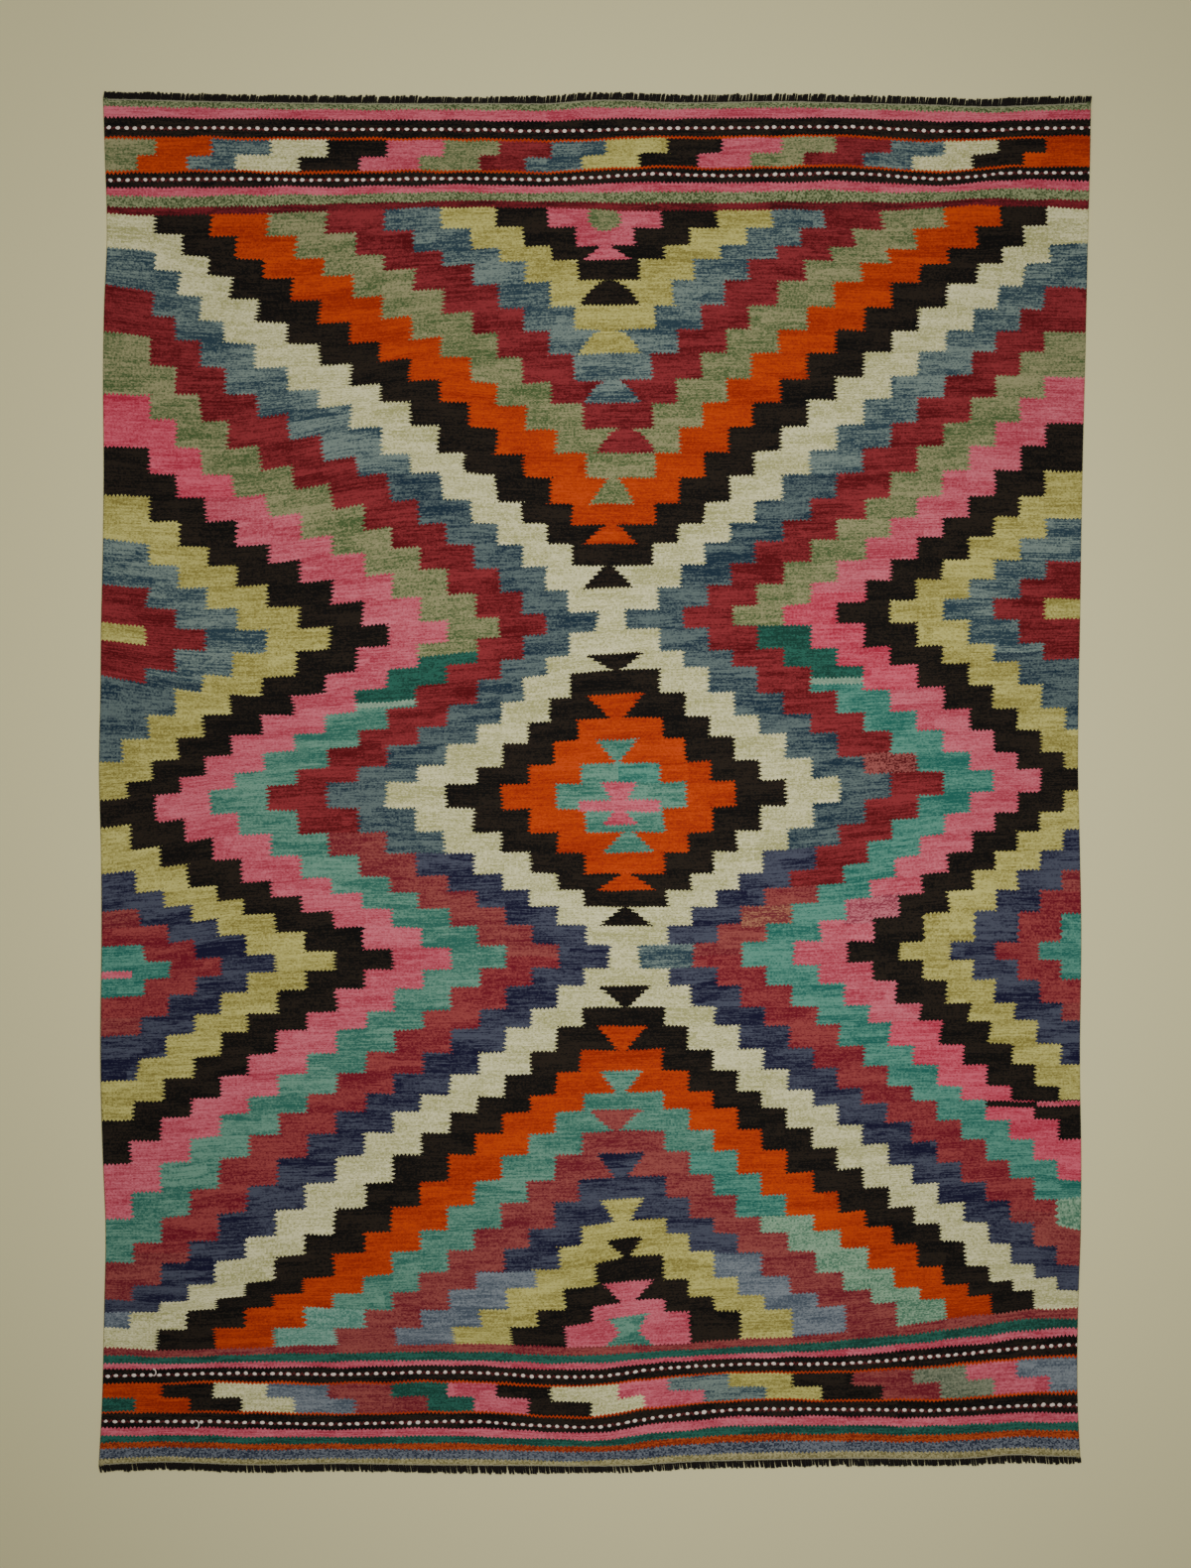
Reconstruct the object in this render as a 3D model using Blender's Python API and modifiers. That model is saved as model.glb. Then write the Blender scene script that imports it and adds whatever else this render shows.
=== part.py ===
"""Flat tapestry-woven wool rug (kilim), 1.5 m by 2.1 m, lying flat.

Metres, +Z up. X runs across the rug, along the weft, and Y along the warps. The origin is at the
middle of the box, on the floor.

  rug_cloth     the woven piece: field, end bands and the two thicker selvedges, as one solid
  edging_upper  the overcast stitches that bind the cut warps at the +Y end
  edging_lower  the same at the -Y end
"""

import bmesh
import bpy
import numpy as np

MM = 0.001

# ---- Driving dimensions, in millimetres ----
CLOTH_THICKNESS = 2.2  # two layers of beaten weft over the warps
SELVEDGE_THICKNESS = 3.0  # doubled outer warps with the weft turned round them
SELVEDGE_WIDTH = 7.0
CELLS_ACROSS = 60  # between the selvedges
CELLS_ALONG = 64

EDGING_GAP = 0.3  # between the cloth's cut end and its stitches
EDGING_THICKNESS = 3.0  # over the crown of a stitch
STITCH_PITCH = 10.0  # a lock of two or three stitches, as far as a step away shows them
STITCH_RELIEF = 0.7  # how much lower the surface is between two locks
STITCH_REACH = 1.1  # how much further out a lock reaches than the dip beside it
STITCH_LEAN = 1.6  # a lock's outer end lies this far to the +X side of its root
EDGING_OVERHANG = 1.5  # the stitches turn this far past the cloth's corners

# Where the cloth's long sides lie, one row for each section from the upper end down.
# (y, x of the left side, x of the right side)
SIDE_SECTIONS = (
    (1033, -742, 749),
    (940, -739, 748),
    (820, -736, 745),
    (730, -740, 743),
    (600, -742, 740),
    (480, -741, 737),
    (370, -742, 735),
    (235, -745, 733),
    (130, -746, 731),
    (30, -748, 730),
    (-105, -745, 733),
    (-210, -744, 735),
    (-440, -745, 733),
    (-570, -742, 735),
    (-680, -738, 734),
    (-790, -740, 730),
    (-950, -744, 730),
    (-1028, -748, 734),
)

# The upper end, one row for each section from left to right.
# (x, y of the cloth's end, y of the stitches' outer ends)
UPPER_SECTIONS = (
    (-742, 1035, 1044),
    (-660, 1033, 1043),
    (-580, 1031, 1041),
    (-380, 1028, 1038),
    (-130, 1028, 1037),
    (-70, 1028, 1038),
    (0, 1033, 1043),
    (45, 1033, 1043),
    (105, 1030, 1040),
    (300, 1031, 1041),
    (420, 1028, 1038),
    (510, 1026, 1036),
    (600, 1023, 1033),
    (665, 1025, 1036),
    (749, 1028, 1037),
)

# The lower end, the same way.
LOWER_SECTIONS = (
    (-748, -1033, -1042),
    (-665, -1029, -1039),
    (-510, -1033, -1043),
    (-390, -1031, -1041),
    (-250, -1033, -1043),
    (-120, -1034, -1045),
    (0, -1035, -1043),
    (60, -1034, -1043),
    (135, -1029, -1038),
    (240, -1026, -1036),
    (375, -1023, -1033),
    (580, -1022, -1031),
    (630, -1018, -1028),
    (690, -1020, -1030),
    (734, -1021, -1029),
)

# The edging's section from its inner foot over the crown to its outer foot; its base is flat.
# (share of the width, share of the height)
EDGING_SECTION = ((0.0, 0.0), (0.1, 0.7), (0.45, 1.0), (0.88, 0.72), (1.0, 0.0))


def smooth_through(stations, values, at):
    """A smooth curve through (station, value) pairs, read at the given places: a cubic between each
    two neighbours, with the slope at each pair the mean of the slopes on its two sides."""
    stations, values = np.asarray(stations, float), np.asarray(values, float)
    if stations[0] > stations[-1]:
        stations, values = stations[::-1], values[::-1]
    slopes = np.gradient(values, stations)
    at = np.clip(at, stations[0], stations[-1])
    left = np.clip(np.searchsorted(stations, at, side="right") - 1, 0, len(stations) - 2)
    span = stations[left + 1] - stations[left]
    t = (at - stations[left]) / span
    return (
        (2 * t**3 - 3 * t**2 + 1) * values[left]
        + (t**3 - 2 * t**2 + t) * span * slopes[left]
        + (3 * t**2 - 2 * t**3) * values[left + 1]
        + (t**3 - t**2) * span * slopes[left + 1]
    )


def column(rows, index):
    """One named column of a table."""
    return [row[index] for row in rows]


def left_side(y):
    return smooth_through(column(SIDE_SECTIONS, 0), column(SIDE_SECTIONS, 1), y)


def right_side(y):
    return smooth_through(column(SIDE_SECTIONS, 0), column(SIDE_SECTIONS, 2), y)


def cloth_end(sections, x):
    return smooth_through(column(sections, 0), column(sections, 1), x)


def stitch_end(sections, x):
    return smooth_through(column(sections, 0), column(sections, 2), x)


def column_shares():
    """Shares of the width at which the cloth's columns of points stand: close together in the
    selvedges and evenly spaced between them."""
    width = right_side(0.0) - left_side(0.0)
    selvedge = np.array([0.0, 0.45, 0.8, 1.0]) * SELVEDGE_WIDTH / width
    middle = np.linspace(selvedge[-1], 1 - selvedge[-1], CELLS_ACROSS + 1)[1:-1]
    return np.concatenate([selvedge, middle, (1 - selvedge)[::-1]])


def cloth_corners(sections):
    """The columns' x along one end, on the straight line between its two corners."""
    y = SIDE_SECTIONS[0][0] if sections is UPPER_SECTIONS else SIDE_SECTIONS[-1][0]
    return left_side(y) + (right_side(y) - left_side(y)) * column_shares()


def make_material(name, colour, roughness):
    material = bpy.data.materials.new(name)
    material.use_nodes = True
    shader = material.node_tree.nodes["Principled BSDF"]
    shader.inputs["Base Color"].default_value = (*colour, 1.0)
    shader.inputs["Roughness"].default_value = roughness
    shader.inputs["Metallic"].default_value = 0.0
    return material


def add_object(name, mesh, material, collection):
    thing = bpy.data.objects.new(name, mesh)
    mesh.materials.append(material)
    collection.objects.link(thing)
    return thing


def points_of(mesh):
    points = np.empty(len(mesh.vertices) * 3, np.float32)
    mesh.vertices.foreach_get("co", points)
    return points.reshape(-1, 3)


def place(mesh, points):
    """Puts a mesh's vertices at these points, in metres."""
    mesh.vertices.foreach_set("co", np.asarray(points, np.float32).ravel())
    mesh.update()


def centre_on_box(things):
    """Moves all the meshes together, so that the middle of their box is over the origin."""
    points = np.concatenate([points_of(thing.data) for thing in things])
    middle = (points.min(axis=0) + points.max(axis=0)) / 2 * (1, 1, 0)
    for thing in things:
        place(thing.data, points_of(thing.data) - middle)


def grid_mesh(name, across, along):
    """A flat grid with this many cells, whose vertices run row by row along the first direction."""
    bm = bmesh.new()
    bmesh.ops.create_grid(bm, x_segments=across, y_segments=along, size=1.0)
    mesh = bpy.data.meshes.new(name)
    bm.to_mesh(mesh)
    bm.free()
    shares = (points_of(mesh) + 1) / 2
    return mesh, shares[:, 0], shares[:, 1]


def make_cloth(material, collection):
    """The cloth's underside is a patch between its four uneven edges, flat on the floor. Its thickness
    is set upwards from there, thin over the field and full along the selvedges."""
    shares = column_shares()
    cells = len(shares) - 1
    mesh, u, v = grid_mesh("rug_cloth", cells, CELLS_ALONG)
    nth = np.rint(u * cells).astype(int)
    u = shares[nth]

    top, bottom = SIDE_SECTIONS[0][0], SIDE_SECTIONS[-1][0]
    y = bottom + (top - bottom) * v
    x = left_side(y) * (1 - u) + right_side(y) * u
    upper_end = cloth_end(UPPER_SECTIONS, cloth_corners(UPPER_SECTIONS))[nth]
    lower_end = cloth_end(LOWER_SECTIONS, cloth_corners(LOWER_SECTIONS))[nth]
    y = lower_end * (1 - v) + upper_end * v
    place(mesh, np.column_stack([x, y, np.zeros_like(x)]) * MM)

    cloth = add_object("rug_cloth", mesh, material, collection)
    # A selvedge is full on its two inner columns and half rounded off at the outermost.
    column_from_side = np.minimum(nth, cells - nth)
    bead = np.array([0.5, 1.0, 1.0, 0.0])[np.minimum(column_from_side, 3)]
    thickness = CLOTH_THICKNESS + (SELVEDGE_THICKNESS - CLOTH_THICKNESS) * bead
    group = cloth.vertex_groups.new(name="thickness")
    for index, share in enumerate(thickness / SELVEDGE_THICKNESS):
        group.add([index], float(share), "REPLACE")
    solid = cloth.modifiers.new("thickness", "SOLIDIFY")
    solid.thickness = SELVEDGE_THICKNESS * MM
    solid.offset = 1.0
    solid.vertex_group = group.name
    return cloth


def make_edging(name, sections, outward, material, collection):
    """A low half-round band carried along the cloth's end, its base flat on the floor. Along it the
    band swells at each lock of stitches, where it also reaches further out, and dips between two."""
    first, last = sections[0][0] - EDGING_OVERHANG, sections[-1][0] + EDGING_OVERHANG
    locks = int(round((last - first) / STITCH_PITCH))
    stations, sides = 2 * locks, len(EDGING_SECTION)
    mesh, along, around = grid_mesh(name, stations, sides)
    station = np.rint(along * stations).astype(int)
    share, rise = np.array(EDGING_SECTION)[np.rint(around * sides).astype(int) % sides].T

    x = first + (last - first) * along
    dip = 1 - station % 2
    dip_depth = STITCH_REACH * (0.75 + 0.25 * np.sin(station * 2.4) * np.cos(station * 0.7))
    corners = cloth_corners(sections)
    inner = np.interp(x, corners, cloth_end(sections, corners)) + outward * EDGING_GAP
    outer = stitch_end(sections, x) - outward * dip_depth * dip
    lean = STITCH_LEAN * share * ((station > 0) & (station < stations))
    y = inner + (outer - inner) * share
    z = (EDGING_THICKNESS - STITCH_RELIEF * dip) * rise
    place(mesh, np.column_stack([x + lean, y, z]) * MM)

    bm = bmesh.new()
    bm.from_mesh(mesh)
    bmesh.ops.remove_doubles(bm, verts=bm.verts, dist=0.01 * MM)
    bmesh.ops.holes_fill(bm, edges=[e for e in bm.edges if e.is_boundary], sides=sides)
    bmesh.ops.recalc_face_normals(bm, faces=bm.faces)
    bm.to_mesh(mesh)
    bm.free()
    return add_object(name, mesh, material, collection)


def main():
    for thing in list(bpy.data.objects):
        bpy.data.objects.remove(thing)
    collection = bpy.data.collections.new("kilim rug")
    bpy.context.scene.collection.children.link(collection)

    wool = make_material("flat-woven wool", (0.36, 0.15, 0.12), 0.92)
    yarn = make_material("dark overcast wool yarn", (0.012, 0.010, 0.009), 0.95)

    pieces = [
        make_cloth(wool, collection),
        make_edging("edging_upper", UPPER_SECTIONS, 1.0, yarn, collection),
        make_edging("edging_lower", LOWER_SECTIONS, -1.0, yarn, collection),
    ]
    centre_on_box(pieces)


main()
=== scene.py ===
"""Looks of the flat-woven wool rug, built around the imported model.

Lengths in the tables are millimetres on the rug's own axes: X across, along the weft, from the
middle, and Y along the warps towards the upper end. Everything is put into metres, and moved by
TO_BOX_MIDDLE, only where a mesh is made.
"""

from functools import partial

import bpy
import numpy as np
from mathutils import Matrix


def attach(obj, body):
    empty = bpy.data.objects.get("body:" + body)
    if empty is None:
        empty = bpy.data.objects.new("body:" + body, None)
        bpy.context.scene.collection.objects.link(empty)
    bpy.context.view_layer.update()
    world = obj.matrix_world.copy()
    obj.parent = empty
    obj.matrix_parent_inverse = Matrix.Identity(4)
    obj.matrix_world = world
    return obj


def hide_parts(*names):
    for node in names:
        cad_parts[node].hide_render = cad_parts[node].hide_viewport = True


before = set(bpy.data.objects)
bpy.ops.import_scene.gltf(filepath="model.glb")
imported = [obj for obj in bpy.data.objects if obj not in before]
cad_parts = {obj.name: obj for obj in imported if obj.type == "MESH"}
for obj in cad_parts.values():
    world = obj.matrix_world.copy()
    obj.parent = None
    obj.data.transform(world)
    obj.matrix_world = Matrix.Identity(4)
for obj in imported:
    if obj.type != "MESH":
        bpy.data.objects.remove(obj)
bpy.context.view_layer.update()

MM = 0.001
TO_BOX_MIDDLE = np.array([-0.5, 0.48, 0.0])  # the model's origin is the middle of its box

# ---- The cloth's outline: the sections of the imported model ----
CLOTH_THICKNESS = 2.2
SELVEDGE_THICKNESS = 3.0
SELVEDGE_WIDTH = 7.0
WARP_SPREAD = 1485.0  # how wide the warps are spread, from one side to the other

# (y, x of the left side, x of the right side)
SIDE_SECTIONS = (
    (1033, -742, 749), (940, -739, 748), (820, -736, 745), (730, -740, 743),
    (600, -742, 740), (480, -741, 737), (370, -742, 735), (235, -745, 733),
    (130, -746, 731), (30, -748, 730), (-105, -745, 733), (-210, -744, 735),
    (-440, -745, 733), (-570, -742, 735), (-680, -738, 734), (-790, -740, 730),
    (-950, -744, 730), (-1028, -748, 734),
)

# (x, y of the cloth's end, y of the stitches' outer ends)
UPPER_SECTIONS = (
    (-742, 1035, 1044), (-660, 1033, 1043), (-580, 1031, 1041), (-380, 1028, 1038),
    (-130, 1028, 1037), (-70, 1028, 1038), (0, 1033, 1043), (45, 1033, 1043),
    (105, 1030, 1040), (300, 1031, 1041), (420, 1028, 1038), (510, 1026, 1036),
    (600, 1023, 1033), (665, 1025, 1036), (749, 1028, 1037),
)
LOWER_SECTIONS = (
    (-748, -1033, -1042), (-665, -1029, -1039), (-510, -1033, -1043), (-390, -1031, -1041),
    (-250, -1033, -1043), (-120, -1034, -1045), (0, -1035, -1043), (60, -1034, -1043),
    (135, -1029, -1038), (240, -1026, -1036), (375, -1023, -1033), (580, -1022, -1031),
    (630, -1018, -1028), (690, -1020, -1030), (734, -1021, -1029),
)

# ---- The weaver's layout ----
# The field has 53 rows of blocks. Line 0 is its upper edge and line 53 its lower one.
FIELD_TOP = 868
ROW_HEIGHTS = (
    *(28, 29, 21, 31, 38, 36, 36, 40, 35, 39, 37, 38, 39, 31, 29, 33, 32, 32),
    *(30, 34, 25, 42, 36, 32, 36, 29, 39, 36, 30, 32, 25, 26, 28, 30, 34, 26),
    *(32, 28, 36, 32, 33, 25, 33, 33, 36, 33, 34, 26, 30, 36, 30, 24, 43),
)
ROWS = len(ROW_HEIGHTS)

# Where the joins between blocks stand, as distances to each side of the pattern's middle.
# (line, x of the middle, then at steps 15, 12, 8 and 4 to the left, and 4, 8, 12 and 15 to the right)
JOINS = (
    (0, 13, 676, 548, 374, 202, 214, 370, 563, 670),
    (3, 20, 685, 566, 382, 203, 213, 382, 561, 667),
    (5, 24, 693, 585, 393, 208, 209, 384, 549, 653),
    (10, 31, 704, 586, 399, 221, 209, 376, 537, 650),
    (11.5, 30, 703, 578, 389, 229, 211, 377, 537, 651),
    (13, 29, 700, 569, 376, 216, 213, 379, 536, 652),
    (16, 26, 698, 568, 372, 206, 218, 383, 540, 656),
    (18, 27, 706, 568, 380, 205, 219, 381, 539, 654),
    (21, 30, 707, 581, 392, 206, 215, 376, 536, 648),
    (24, 34, 704, 582, 390, 211, 214, 373, 533, 640),
    (28, 39, 697, 575, 397, 222, 213, 370, 529, 635),
    (34, 45, 685, 571, 393, 219, 215, 379, 530, 627),
    (37, 44, 688, 568, 389, 217, 214, 373, 526, 628),
    (39, 43, 690, 566, 387, 216, 212, 363, 515, 625),
    (43, 41, 697, 561, 388, 220, 212, 363, 512, 623),
    (47, 43, 697, 571, 390, 224, 207, 366, 513, 620),
    (50, 48, 704, 578, 398, 226, 206, 367, 514, 616),
    (53, 53, 714, 582, 397, 220, 206, 367, 514, 612),
)
STEPS = np.array([0.0, 4.0, 8.0, 12.0, 15.0])
# The middle block of every second row, from row 1 on, has its own width, which sets where step 0
# is. (its reach to the left and to the right of the pattern's middle)
MIDDLE_BLOCKS = (
    *((45, 43), (46, 47), (54, 67), (59, 58), (48, 57), (42, 62), (63, 62), (61, 61), (67, 69)),
    *((66, 70), (68, 68), (58, 69), (56, 63), (52, 66), (55, 65), (58, 68), (57, 66), (59, 68)),
    *((61, 61), (64, 60), (59, 63), (60, 65), (65, 66), (63, 65), (46, 58), (54, 55)),
)
BLOCK_ROWS = np.arange(1, ROWS, 2)
MIDDLE_X = 30.0  # a weft line hardly sags at this x, near the pattern's middle
# The count at the pattern's middle rises by one a row from each end to the nearer peak, and falls
# from both peaks to the waist between them.
UPPER_PEAK, WAIST, LOWER_PEAK = 18, 26, 34
MOST_STEPS = 16.0  # to each side
WIDER_FROM = 22.5  # from this line on there is one step more

# How far the beaten weft sags below its height at the middle.
SAG_X = (-742, -650, -550, -450, -350, -250, -130, -30, 45, 330, 450, 570, 650, 735)
# (line, then the sag at each x of SAG_X)
SAG = (
    (0, 8, 13, 9, 7, 3, 0, 0, 1, 4, 3, 4, -4, -2, 1),
    (2, 2, 10, 20, 21, 15, 9, 3, 1, 0, 1, 5, 4, 1, -4),
    (3, 10, 17, 26, 28, 20, 12, 4, 1, 0, 1, 6, 6, 5, 4),
    (4, 6, 20, 28, 31, 26, 15, 6, 1, 0, 2, 4, 6, 9, 12),
    (6, 3, 14, 20, 23, 21, 13, 6, 2, 0, 1, 3, 3, 3, 4),
    (8, 24, 24, 24, 17, 10, 0, 8, 3, 1, -2, -5, -6, -5, -3),
    (9, 25, 26, 27, 14, 1, -3, 4, 2, 1, -3, -6, -8, -7, -5),
    (10, 27, 29, 30, 17, -2, -4, 1, 1, 0, -3, -8, -9, -8, -6),
    (11, 28, 31, 33, 19, 4, 1, 2, 0, 0, -4, -9, -11, -10, -8),
    (12, 26, 29, 29, 18, -3, -9, -4, 0, 0, -6, -9, -12, -11, -10),
    (13, 24, 27, 25, 16, 2, -8, -2, 0, 0, -7, -9, -12, -12, -12),
    (14, 22, 31, 34, 24, 9, -2, -1, 0, 0, -6, -9, -11, -10, -9),
    (16, 29, 35, 32, 27, 18, 7, 4, 1, 0, -5, -10, -9, -8, -6),
    (18, 22, 31, 33, 32, 27, 21, 12, 7, 3, -6, -11, -14, -14, -14),
    (21, 13, 30, 43, 43, 35, 27, 17, 10, 5, -1, -2, -6, -9, -13),
    (22, 28, 30, 30, 32, 26, 18, 12, 4, 0, -4, -7, -14, -15, -17),
    (24, 34, 31, 24, 16, 11, 8, 6, 2, 0, -9, -13, -15, -15, -15),
    (26, 26, 18, 9, 2, -1, 0, 3, 1, 0, -7, -15, -18, -20, -22),
    (28, 34, 20, 6, 4, 0, -1, 1, 0, 0, -7, -18, -29, -30, -32),
    (30, 34, 26, 16, 9, 6, 4, 0, 1, 1, -6, -21, -33, -34, -36),
    (33, 32, 27, 14, 9, 1, 3, -1, -1, 0, -6, -13, -22, -21, -19),
    (34, 28, 24, 17, 11, 7, 4, -1, -1, -1, -7, -5, -5, -5, -4),
    (35, 20, 16, 10, 5, 3, 3, 0, 1, 1, -5, -11, -12, -12, -12),
    (37, 18, 15, 12, 10, 8, 7, 4, 2, 1, 0, -3, -5, -5, -6),
    (41, 17, 14, 9, 4, 4, 6, 8, 4, 2, -2, -8, -9, -9, -9),
    (44, 19, 17, 9, 9, 6, 4, 5, 4, 1, -5, -13, -19, -19, -20),
    (46, 34, 30, 25, 17, 15, 13, 9, 7, 2, -7, -17, -24, -30, -25),
    (47, 37, 34, 30, 22, 20, 16, 13, 10, 2, -8, -18, -28, -30, -35),
    (48, 39, 39, 35, 28, 24, 20, 17, 13, 1, -9, -18, -23, -23, -11),
    (49, 42, 43, 40, 33, 29, 23, 21, 16, 1, -10, -19, -24, -18, -16),
    (50, 28, 32, 25, 19, 19, 15, 11, 10, 2, -10, -19, -23, -25, -23),
    (51, 17, 17, 11, 9, 14, 14, 14, 12, 2, -12, -19, -26, -33, -38),
    (52, 16, 20, 18, 16, 18, 17, 16, 13, 0, -14, -23, -31, -40, -40),
    (53, 3, 8, 5, 1, 0, -2, 0, 3, 1, -16, -28, -44, -54, -57),
)

# The two rows of white dots in each end band run along these lines.
# (x, then y of the upper band's outer and inner row, and of the lower band's inner and outer row)
DOT_ROWS = (
    (-742, 989, 910, -897, -965), (-570, 989, 912, -893, -966), (-400, 987, 910, -894, -969),
    (-170, 986, 912, -892, -966), (-60, 984, 911, -898, -973), (10, 986, 915, -897, -973),
    (75, 988, 919, -888, -962), (190, 989, 917, -880, -949), (400, 990, 920, -876, -947),
    (525, 984, 912, -866, -948), (630, 987, 921, -856, -942), (720, 989, 921, -849, -940),
)

# Across an end band, depth is counted in even millimetres: the dot rows always lie at the same
# depths, whatever the real distance between them is at that x.
UPPER_DEPTHS = (0.0, 44.0, 116.0, 164.0)  # the cloth's end, the two dot rows, line 0
LOWER_DEPTHS = (0.0, 43.0, 117.0, 188.0)  # line 53, the two dot rows, the cloth's end
LINE_PITCH = 32.0  # a row's usual height; a line number past the field stands for this much depth
THREAD = 1.5  # half the width of the dark red thread that the dots sit on

# The stripes of each band: (dye, depth at which the stripe ends). The stepped blocks of the two
# rows between the dots are "outer" and "inner", by how near they are to the cloth's end.
UPPER_STRIPES = (
    ("hatched sage", 12.8),
    ("pink", 28.2),
    ("black", 44.0 - THREAD),
    ("thread", 44.0 + THREAD),
    ("black", 56.8),
    ("orange", 60.2),
    ("outer", 82.6),
    ("inner", 103.4),
    ("orange", 106.8),
    ("black", 116.0 - THREAD),
    ("thread", 116.0 + THREAD),
    ("black", 126.6),
    ("pink", 138.0),
    ("hatched sage", 153.0),
    ("deep crimson", 164.0),
)
LOWER_STRIPES = (
    ("rose", 11.2),
    ("forest", 23.6),
    ("pink", 32.3),
    ("black", 43.0 - THREAD),
    ("thread", 43.0 + THREAD),
    ("black", 54.4),
    ("orange", 57.8),
    ("inner", 79.0),
    ("outer", 100.0),
    ("orange", 103.4),
    ("black", 117.0 - THREAD),
    ("thread", 117.0 + THREAD),
    ("black", 127.0),
    ("pink", 139.0),
    ("forest", 150.7),
    ("worn orange", 160.7),
    ("hatched slate", 175.6),
    ("pale khaki", 188.0),
)

# Where the stepped blocks meet: (how many blocks lie to the left, then x of that join in the
# upper band's outer and inner row, and in the lower band's inner and outer row)
BLOCK_JOINS = (
    (1, -667, -695, -755, -698), (2, -582, -620, -657, -614), (3, -492, -543, -578, -535),
    (4, -405, -446, -497, -455), (5, -319, -360, -408, -367), (6, -232, -267, -310, -254),
    (7, -146, -175, -223, -185), (8, -67, -105, -150, -101), (9, 17, -19, -67, -4),
    (10, 105, 64, 32, 69), (11, 190, 153, 107, 161), (12, 279, 234, 200, 257),
    (13, 365, 316, 297, 342), (14, 443, 400, 386, 429), (15, 524, 476, 477, 519),
    (16, 608, 566, 558, 600), (17, 682, 647, 637, 685),
)
UPPER_BLOCKS = (
    *("sage", "orange", "slate", "ivory", "black", "pink", "sage", "crimson", "slate"),
    *("khaki", "black", "pink", "sage", "crimson", "slate", "ivory", "black", "orange"),
)
LOWER_BLOCKS = (
    *("forest", "orange", "black", "ivory", "pale slate", "rose", "forest", "pink", "black"),
    *("ivory", "pink", "slate", "khaki", "black", "rose", "grey sage", "pink", "pale slate"),
)

# The dyes: (name, darkest shade, lightest shade, share of the streaks, share of the fine grain,
# which is painted shade over the picks and specks in the yarn)
DYES = (
    ("black", "#080605", "#2d241b", 0.7, 0.7),
    ("pink", "#b83a50", "#f07c8e", 0.45, 0.35),
    ("khaki", "#968b43", "#ded77e", 0.45, 0.42),
    ("slate", "#2d4553", "#859790", 0.75, 0.5),
    ("navy", "#161436", "#53586a", 0.85, 0.4),
    ("crimson", "#600912", "#9e363c", 0.6, 0.4),
    ("rose", "#771a2c", "#a85650", 0.55, 0.5),
    ("sage", "#51693c", "#aaa67b", 0.45, 0.5),
    ("teal", "#2f7062", "#79aa94", 0.6, 0.4),
    ("forest", "#17473c", "#2f6f5f", 0.7, 0.7),
    ("orange", "#a4290f", "#dc4d18", 0.45, 0.35),
    ("ivory", "#b7b678", "#fffac4", 0.4, 0.5),
    ("pale slate", "#4f5c6b", "#8f98a0", 0.5, 0.45),
    ("thread", "#4a1a1a", "#6e3030", 0.5, 0.5),
    ("white", "#dccdc2", "#fbf0e6", 0.5, 0.5),
    ("pale sage", "#7fa38c", "#a5c0a5", 0.5, 0.7),
    ("gold rose", "#80323a", "#bd8263", 0.6, 0.6),
    ("hatched pink", "#9a3a50", "#dd7c8a", 0.5, 0.8),
    ("flecked crimson", "#5c0f18", "#b0605c", 0.5, 0.8),
    ("pale teal", "#528c7c", "#93c0ac", 0.4, 0.5),
    ("hatched sage", "#46582f", "#a5ab80", 0.25, 0.9),
    ("hatched slate", "#2c3549", "#7f8690", 0.3, 0.8),
    ("worn orange", "#84260f", "#c65626", 0.4, 0.7),
    ("pale khaki", "#827a4a", "#c6bd8c", 0.3, 0.7),
    ("pale green", "#4d8066", "#9fc3a2", 0.4, 0.6),
    ("grey sage", "#55644e", "#959a80", 0.45, 0.6),
    ("deep crimson", "#4a0a12", "#8c2832", 0.6, 0.4),
    ("bright teal", "#1f6d62", "#6aa894", 0.6, 0.4),
    ("deep slate", "#1d3446", "#6b7c7b", 0.75, 0.5),
    ("deep pink", "#bb2a46", "#f36d84", 0.45, 0.35),
    ("deep rose", "#791128", "#aa4c4b", 0.55, 0.5),
)
DYE_SCALE = 32.0  # dye numbers are handed on as shares of this
DYE_SHARE = {row[0]: number / DYE_SCALE for number, row in enumerate(DYES)}

# The nested bands of the field: (dye above, dye below, line at which the dye lot changes)
BANDS = (
    ("pink", "pink", 26), ("black", "black", 26), ("khaki", "khaki", 26),
    ("slate", "navy", 26), ("crimson", "rose", 26), ("sage", "teal", 22),
    ("orange", "orange", 26), ("black", "black", 26), ("ivory", "ivory", 26),
    ("slate", "navy", 29), ("crimson", "rose", 31), ("sage", "teal", 21.6),
    ("pink", "pink", 26), ("black", "black", 26), ("khaki", "khaki", 26),
    ("slate", "navy", 27), ("crimson", "rose", 26), ("khaki", "teal", 26),
    ("pink", "pink", 26),
)

FAR = 850  # from the pattern's middle to past either selvedge
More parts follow.
